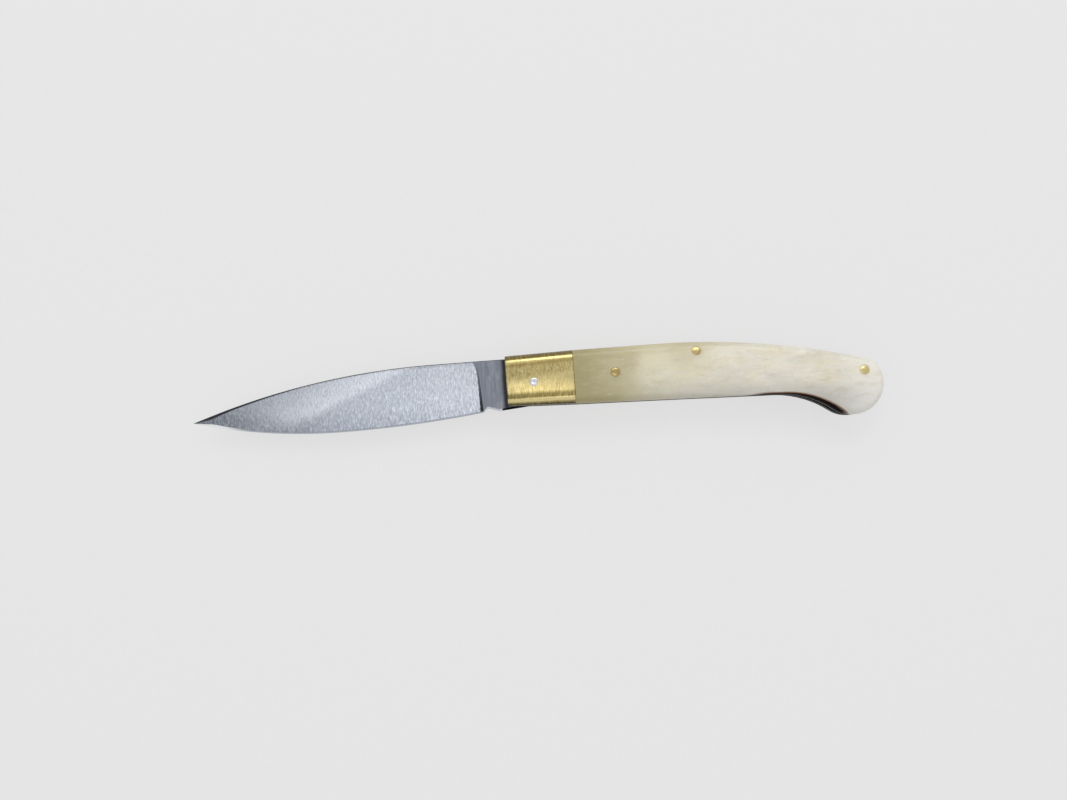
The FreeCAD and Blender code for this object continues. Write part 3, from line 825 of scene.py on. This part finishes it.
@dataclass
class Scales:
    """The two bone scales: crowned slabs, with sawn edges towards the slot."""

    handle: Handle
    shop: Workshop
    columns: int = 150
    end_columns: int = 70
    rows: int = 64
    first_column: float = 0.5
    end_start: float = 84.0
    seam_break: float = 0.12
    sawn_rise: float = 0.05
    painted_shade_rise: float = 0.6

    def build(self, side: Side, finishes: list[bpy.types.Material]) -> bpy.types.Object:
        """Builds one scale.

        Args:
            side: The face that it covers.
            finishes: The polished bone, and the sawn bone of the edges towards the slot.

        Returns:
            The scale.
        """
        h = self.handle
        front = [h.seam, h.seam + self.seam_break]
        middle = np.linspace(h.seam + self.first_column, self.end_start, self.columns)
        turn = np.linspace(0, math.pi / 2, self.end_columns)
        tail = self.end_start + (h.end - self.end_start) * np.sin(turn)
        u = np.concatenate([front, middle, tail[1:]])[:, None] * np.ones((1, self.rows))
        share = eased(self.rows)[None, :]
        low = h.lower(u)
        v = low + share * (h.upper(u) - low)
        w = h.surface(u, v)
        w[0] -= self.seam_break
        outer = np.stack([u, v, side.value * w], axis=-1)
        inner = np.stack([u, v, np.full_like(u, side.value * h.scale_face)], axis=-1)
        word = side.name.lower()
        points, faces = shell_between(outer, inner)
        middles = np.array([points[face].mean(axis=0) for face in faces])
        walls = np.arange(len(faces)) >= 2 * (u.shape[0] - 1) * (u.shape[1] - 1)
        below = middles[:, 1] < h.lower(middles[:, 0]) + self.sawn_rise
        sawn = walls & below & (middles[:, 0] < h.butt[0])
        # The rim around the hook takes the sawn bone too, which carries the hook's painted shade
        sawn |= np.hypot(*(middles[:, :2] - h.hollow.centre).T) < h.hollow.radius + self.painted_shade_rise
        made = self.shop.piece(f"{word}_bone_scale", points, faces, finishes, sawn.astype(int).tolist())
        self.shop.mount(made, Body.HANDLE, Slot.BONE, f"{word}_scale")
        return made

    def dress(self) -> None:
        """Builds both scales in polished bone, with sawn edges."""
        finishes = [POLISHED_BONE.make(), SAWN_BONE.make()]
        for side in Side:
            self.build(side, finishes)


@dataclass
class Collar:
    """The brass collar: two crowned cheeks and a bridge, open below."""

    handle: Handle
    shop: Workshop
    front: float = -7.85
    rear: float = 11.55
    front_rise: float = 8.1
    front_drop: float = 6.25
    bridge: float = 7.57
    mouth_break: float = 0.35
    rear_break: float = 0.12
    rows: int = 72
    steps: int = 5

    def profile(self, u: float, inset: float) -> Array:
        """Draws the collar's section at a place along the knife.

        Args:
            u: The place in millimetres.
            inset: How far the outside is drawn in.

        Returns:
            The corners of the section.
        """
        h = self.handle
        share = (u - self.front) / (self.rear - self.front)
        top = self.front_rise + share * (h.back - self.front_rise)
        low = -self.front_drop - share * (h.seam_drop - self.front_drop)
        v = low + eased(self.rows) * (top - low)
        w = h.thickness(np.minimum(v - low, top - v)) - inset
        v = np.clip(v, low + inset, top - inset)
        near = np.stack([np.full_like(v, u), v, w], axis=-1)
        far = near[::-1] * [1, 1, -1]
        low, face = low + inset, h.scale_face
        slot = [[u, low, -face], [u, self.bridge, -face], [u, self.bridge, face], [u, low, face]]
        return np.concatenate([near, far, np.array(slot)])

    def build(self, material: bpy.types.Material) -> bpy.types.Object:
        """Builds the collar as one bent and brazed sleeve.

        Args:
            material: Its brass.

        Returns:
            The collar.
        """
        turn = np.linspace(0, math.pi / 2, self.steps)
        size = self.mouth_break
        mouth = [(self.front + size * (1 - math.cos(t)), size * (1 - math.sin(t))) for t in turn]
        rear = [(self.rear - self.rear_break, 0.0), (self.rear, self.rear_break)]
        rings = [self.profile(u, inset) for u, inset in mouth + rear]
        count = len(rings[0])
        ends = [list(range(count))[::-1], [count * (len(rings) - 1) + i for i in range(count)]]
        faces = ends + ring_faces(len(rings), count)
        return self.shop.piece("brass_collar", np.concatenate(rings), faces, [material])

    def dress(self) -> None:
        """Builds the collar in brushed brass."""
        self.shop.mount(self.build(BRUSHED_BRASS.make()), Body.HANDLE, Slot.COLLAR, "collar")


@dataclass(frozen=True)
class Pin:
    """One pin: its CAD node, its place, its radius and the faces that it ends in."""

    node: str
    place: Point
    radius: float = 1.3
    sides: tuple[Side, ...] = (Side.NEAR, Side.FAR)


@dataclass
class Pins:
    """The pins and rivets, peened and filed to the curve of the face that they end in."""

    handle: Handle
    shop: Workshop
    segments: int = 48
    rings: tuple[float, ...] = (0.3, 0.6, 0.8, 0.92, 1.0)
    dome: float = 0.2
    sunk: float = 0.05
    pivot: Pin = Pin("pivot_pin", (0.0, 0.0), 1.2)
    brass: tuple[Pin, ...] = (
        Pin("near_front_rivet", (23.3, 1.05), sides=(Side.NEAR,)),
        Pin("far_front_rivet", (23.3, 1.05), sides=(Side.FAR,)),
        Pin("middle_pin", (46.75, 5.4)),
        Pin("rear_pin", (94.1, -3.6)),
    )

    def cap(self, pin: Pin, side: Side) -> Array:
        """Draws a peened end.

        Args:
            pin: The pin.
            side: The face that the end lies in.

        Returns:
            The end's rings of points, from its middle out.
        """
        turn = np.linspace(0, 2 * math.pi, self.segments, endpoint=False)
        rows = []
        for share in (0.0, *self.rings):
            u = pin.place[0] + pin.radius * share * np.cos(turn)
            v = pin.place[1] + pin.radius * share * np.sin(turn)
            w = self.handle.surface(u, v) + self.dome * (1 - share**2) ** 0.5 - self.sunk
            rows.append(np.stack([u, v, side.value * w], axis=-1))
        return np.array(rows)

    def build(self, pin: Pin, material: bpy.types.Material) -> bpy.types.Object:
        """Builds one pin from end to end.

        Args:
            pin: The pin.
            material: Its metal.

        Returns:
            The pin.
        """
        ends = []
        for side in Side:
            cap = self.cap(pin, side)
            if side not in pin.sides:
                cap[..., 2] = -side.value * self.handle.liner_face
            ends.append(cap if side is Side.NEAR else cap[::-1])
        rings = np.concatenate(ends)
        faces = ring_faces(len(rings), self.segments)
        return self.shop.piece(f"{pin.node}_peened", rings.reshape(-1, 3), faces, [material])

    def dress(self) -> None:
        """Builds the steel pivot and the brass pins."""
        pivot = self.build(self.pivot, STEEL_WIRE.make())
        self.shop.mount(pivot, Body.HANDLE, Slot.PIN_STEEL, self.pivot.node)
        brass = BRASS_WIRE.make()
        for pin in self.brass:
            self.shop.mount(self.build(pin, brass), Body.HANDLE, Slot.PIN_BRASS, pin.node)


@dataclass
class Blade:
    """The blade in millimetres: a leaf with a flat grind, honed edge, curved plunge, notch, kick and tang."""

    shop: Workshop
    half: float = 1.2
    edge_half: float = 0.16
    keen_half: float = 0.02
    keen_at: tuple[float, ...] = (-99.3, -92.0, -82.0, -16.0, -15.0)
    keen_width: tuple[float, ...] = (0.9, 0.8, 0.35, 0.35, 0.5)
    back_at: tuple[float, ...] = (-99.3, -88.0, -66.0)
    back_break: tuple[float, ...] = (1.2, 0.65, 0.24)
    back_slope: float = 0.5
    keen_parts: int = 4
    back_parts: int = 3
    least_height: float = 0.001
    under_break: float = 0.3
    kick_bright: float = 1.2
    spine: float = 7.45
    spine_run: float = -28.0
    tip: Point = (-99.3, -4.3)
    belly: Point = (-57.0, -10.0)
    heel: Point = (-15.0, -7.4)
    notch: Point = (-13.8, -6.3)
    kick: Point = (-10.5, -7.3)
    tang_radius: float = 6.3
    plunge_bend: Triple = (-15.444, 0.06, 0.04)
    bend_start: float = 2.5
    plunge_reach: Point = (1.0, 0.3)
    shear_reach: float = 9.0
    grind_top: tuple[float, ...] = (6.95, 6.23, 5.12)
    grind_at: tuple[float, ...] = (-16.7, -57.0, -101.3)
    rows: int = 60
    margin_rows: int = 2
    point_end: float = -26.0
    point_columns: int = 150
    grind_run: tuple[float, float, int] = (-25.5, -19.0, 18)
    plunge_start: float = -18.8
    heel_step: float = 0.04
    tang_start: float = -0.5
    root_columns: tuple[int, ...] = (44, 12, 10, 12)
    tang_columns: int = 30

    def edge_line(self, u: Array) -> Array:
        """Gives the height of the cutting edge and of the tang's underside.

        Args:
            u: Places along the blade.

        Returns:
            Places across the blade.
        """
        arcs = []
        for end in (self.tip, self.heel):
            run, up = end[0] - self.belly[0], end[1] - self.belly[1]
            radius = (run**2 + up**2) / (2 * up)
            arcs.append(self.belly[1] + radius - arch(u, radius, self.belly[0]))
        foot = self.spine - self.tang_radius
        corners = np.array([self.heel, self.notch, self.kick, (foot, -self.tang_radius)])
        under = np.interp(u, corners[:, 0], corners[:, 1])
        line = np.where(u < self.belly[0], *arcs)
        line = np.where(u > self.heel[0], under, line)
        return np.where(u > foot, -arch(u, self.tang_radius, foot), line)

    def spine_line(self, u: Array) -> Array:
        """Gives the height of the blade's back.

        Args:
            u: Places along the blade.

        Returns:
            Places across the blade.
        """
        run, fall = self.tip[0] - self.spine_run, self.spine - self.tip[1]
        radius = (run**2 + fall**2) / (2 * fall)
        nose = self.spine - radius + arch(u, radius, self.spine_run)
        return np.where(u < self.spine_run, nose, np.where(u > 0, arch(u, self.spine), self.spine))

    def plunge_line(self, v: Array) -> Array:
        """Gives where the grind ends, which bends towards the point near the back."""
        start, lean, bend = self.plunge_bend
        return start - lean * v - bend * np.maximum(v - self.bend_start, 0) ** 2

    def half_thickness(self, u: Array, v: Array) -> Array:
        """Gives half the blade's thickness.

        Args:
            u: Places along the blade.
            v: Places across the blade.

        Returns:
            Distances from the middle plane.
        """
        edge, back = self.edge_line(u), self.spine_line(u)
        top = np.interp(u, self.grind_at[::-1], self.grind_top[::-1])
        share = np.clip((v - edge) / (top - edge), 0, 1)
        ground = self.edge_half + (self.half - self.edge_half) * share
        left = np.clip(1 - (self.plunge_line(v) - u) / self.step_width(v), 0, 1)
        half = ground + (self.half - ground) * left**2
        keen, broken = self.margins(u)
        near_edge = np.clip((v - edge) / keen, 0, 1)
        bevel = self.keen_half + (self.edge_half - self.keen_half) * near_edge
        under = half - self.under_break * (1 - near_edge)
        half = np.where(near_edge < 1, np.where(u < self.heel[0], np.minimum(half, bevel), under), half)
        near_back = np.clip(1 - (back - v) / broken, 0, 1)
        return np.maximum(half - near_back * broken * self.back_slope, self.keen_half)

    def step_width(self, v: Array) -> Array:
        """Gives how far the step at the end of the grind reaches."""
        return np.interp(v, (self.heel[1], self.spine), self.plunge_reach)

    def margins(self, u: Array) -> tuple[Array, Array]:
        """Gives the widths of the honed edge and of the broken back, which both run out at the point.

        Args:
            u: Places along the blade.

        Returns:
            The two widths.
        """
        height = np.maximum(self.spine_line(u) - self.edge_line(u), self.least_height)
        back = np.interp(u, self.back_at, self.back_break)
        keen = np.interp(u, self.keen_at, self.keen_width)
        return np.minimum(keen, height / self.keen_parts), np.minimum(back, height / self.back_parts)

    def rows_at(self, u: Array) -> Array:
        """Gives the rows of points from edge to back.

        Args:
            u: Places along the blade, one row for each place.

        Returns:
            Places across the blade.
        """
        edge, back = self.edge_line(u), self.spine_line(u)
        keen, broken = self.margins(u)
        place = np.arange(u.shape[1])
        last, margin = u.shape[1] - 1, self.margin_rows
        share = np.clip((place - margin) / (last - 2 * margin), 0, 1)
        flat = edge + keen + share * (back - broken - edge - keen)
        rows = np.where(place < margin, edge + keen * place / margin, flat)
        return np.where(place > last - margin, back - broken * (last - place) / margin, rows)

    def faces_of(self, centres: Array) -> list[int]:
        """Chooses each face's finish: ground, root, honed edge, back or step.

        Args:
            centres: The middles of the faces.

        Returns:
            Each face's place in the list of finishes.
        """
        u, v = centres[:, 0], centres[:, 1]
        keen, broken = self.margins(u)
        line = self.plunge_line(v)
        ground = np.where(u > line - self.step_width(v), BladeFace.STEP, BladeFace.GROUND)
        choice = np.where(u > line, BladeFace.ROOT, ground)
        under = np.where(u > self.kick[0] + self.kick_bright, BladeFace.BACK, BladeFace.EDGE)
        choice = np.where(v < self.edge_line(u) + keen, under, choice)
        return np.where(v > self.spine_line(u) - broken, BladeFace.BACK, choice).tolist()

    def build(self) -> bpy.types.Object:
        """Builds the blade as one shell.

        Returns:
            The blade.
        """
        point, quarter = self.tip[0], math.pi / 2
        plunge, notch, kick, root = self.root_columns
        places = np.concatenate([
            point + (self.point_end - point) * (1 - np.cos(np.linspace(0, quarter, self.point_columns))),
            np.linspace(*self.grind_run),
            np.linspace(self.plunge_start, self.heel[0], plunge),
            np.linspace(self.heel[0] + self.heel_step, self.notch[0], notch)[:-1],
            np.linspace(self.notch[0], self.kick[0], kick)[:-1],
            np.linspace(self.kick[0], self.tang_start, root)[:-1],
            self.spine * np.sin(np.linspace(0, quarter, self.tang_columns)),
        ])
        u = places[:, None] * np.ones((1, self.rows))
        v = self.rows_at(u)
        near = np.clip(1 - np.abs(u - self.heel[0]) / self.shear_reach, 0, 1)
        u = u + near**2 * (3 - 2 * near) * (self.plunge_line(v) - self.heel[0])
        v = self.rows_at(u)
        w = self.half_thickness(u, v)
        top, bottom = (np.stack([u, v, s * w], axis=-1) for s in (1, -1))
        points, faces = shell_between(top, bottom)
        choice = self.faces_of(np.array([points[face].mean(axis=0) for face in faces]))
        looks = (GROUND_STEEL, ROLLED_ROOT, HONED_EDGE, BACK_IN_PAINTED_SHADE, WHEEL_STEP)
        return self.shop.piece("ground_blade", points, faces, [look.make() for look in looks], choice)

    def dress(self) -> None:
        """Builds the blade in ground steel."""
        self.shop.mount(self.build(), Body.BLADE, Slot.BLADE, "blade")


@dataclass
class Inside:
    """The pieces that keep their CAD shape: liners, spacer and washers."""

    nodes: dict[str, bpy.types.Object]
    steel_nodes: tuple[str, ...] = ("near_liner", "far_liner", "back_spacer")
    bronze_nodes: tuple[str, ...] = ("near_washer", "far_washer")

    def dress(self) -> None:
        """Gives the CAD nodes their finishes."""
        steel, bronze = ROLLED_STRIP.make(), BRONZE_SHEET.make()
        for names, material in ((self.steel_nodes, steel), (self.bronze_nodes, bronze)):
            for name in names:
                slots = self.nodes[name].data.materials
                slots.clear()
                slots.append(material)
                LOG.info("%s keeps its CAD shape in %s", name, material.name)


@dataclass(frozen=True)
class Lamp:
    """A soft lamp: where it hangs, how large it is and how strong."""

    name: str
    place: Triple
    size: Point
    power: float


@dataclass
class Stage:
    """Floor, light and camera, as in the photograph: straight above, turned a little."""

    shop: Workshop
    distance: float = 287.7
    face: float = 5.94
    foot: Point = (-5.08, -18.73)
    turn: float = -4.31
    frame_width: float = 303.2
    shift: Point = (0.0116, 0.0459)
    sensor: float = 36.0
    nearest: float = 0.01
    floor_size: float = 8.0
    background: float = 0.78
    ambient: float = 0.8
    lamps: tuple[Lamp, ...] = (
        Lamp("window_side", (0.05, 0.55, 0.62), (0.7, 0.38), 2.3),
        Lamp("overhead_panel", (-0.035, -0.12, 0.75), (0.31, 0.18), 0.26),
    )

    def set_floor(self) -> None:
        """Lays the paper that the knife rests on."""
        half = self.floor_size / 2
        corners = [(-half, -half, 0), (half, -half, 0), (half, half, 0), (-half, half, 0)]
        mesh = bpy.data.meshes.new("floor_paper")
        mesh.from_pydata(corners, [], [(0, 1, 2, 3)])
        mesh.materials.append(MATTE_PAPER.make())
        floor = bpy.data.objects.new("floor_paper", mesh)
        bpy.context.scene.collection.objects.link(floor)

    def set_light(self) -> None:
        """Hangs the lamps and fills the room with soft light."""
        for lamp in self.lamps:
            light = bpy.data.lights.new(lamp.name, "AREA")
            light.shape = "RECTANGLE"
            light.size, light.size_y = lamp.size
            light.energy = lamp.power
            hung = bpy.data.objects.new(lamp.name, light)
            hung.location = lamp.place
            hung.rotation_euler = (-Vector(lamp.place)).to_track_quat("-Z", "Y").to_euler()
            bpy.context.scene.collection.objects.link(hung)
        world = bpy.data.worlds.new("studio_room")
        bpy.context.scene.world = world
        world.use_nodes = True
        tree = world.node_tree
        ends = {"Value": seen_rays(tree), "To Min": self.ambient, "To Max": self.background}
        level = add_node(tree, "MapRange", None, ends)
        tree.links.new(level.outputs[0], tree.nodes["Background"].inputs["Strength"])
        tree.nodes["Background"].inputs["Color"].default_value = (1, 1, 1, 1)

    def set_camera(self) -> None:
        """Hangs the camera over the knife."""
        data = bpy.data.cameras.new("camera")
        data.sensor_width = self.sensor
        data.lens = self.sensor * self.distance / self.frame_width
        data.shift_x, data.shift_y = self.shift
        data.clip_start = self.nearest
        camera = bpy.data.objects.new("camera", data)
        spot = np.array([*self.foot, self.face + self.distance])
        camera.location = Vector(self.shop.to_frame(spot).tolist())
        camera.rotation_euler = Euler((0, 0, math.radians(self.turn)))
        bpy.context.scene.collection.objects.link(camera)
        bpy.context.scene.camera = camera

    def set_all(self) -> None:
        """Sets floor, light, camera and the plain view transform."""
        self.set_floor()
        self.set_light()
        self.set_camera()
        bpy.context.scene.view_settings.view_transform = "Standard"
        LOG.info("stage set with %d lamps", len(self.lamps))


def main() -> None:
    """Builds the knife around the frame, dresses it and sets the stage."""
    logging.basicConfig(level=logging.INFO, format="%(name)s: %(message)s")
    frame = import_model()
    shop = Workshop(Vector(frame["joints"][0]["pos_m"]))
    handle = Handle()
    Blade(shop).dress()
    Collar(handle, shop).dress()
    Scales(handle, shop).dress()
    Pins(handle, shop).dress()
    Inside(frame["nodes"]).dress()
    Stage(shop).set_all()


if __name__ == "__main__":
    main()
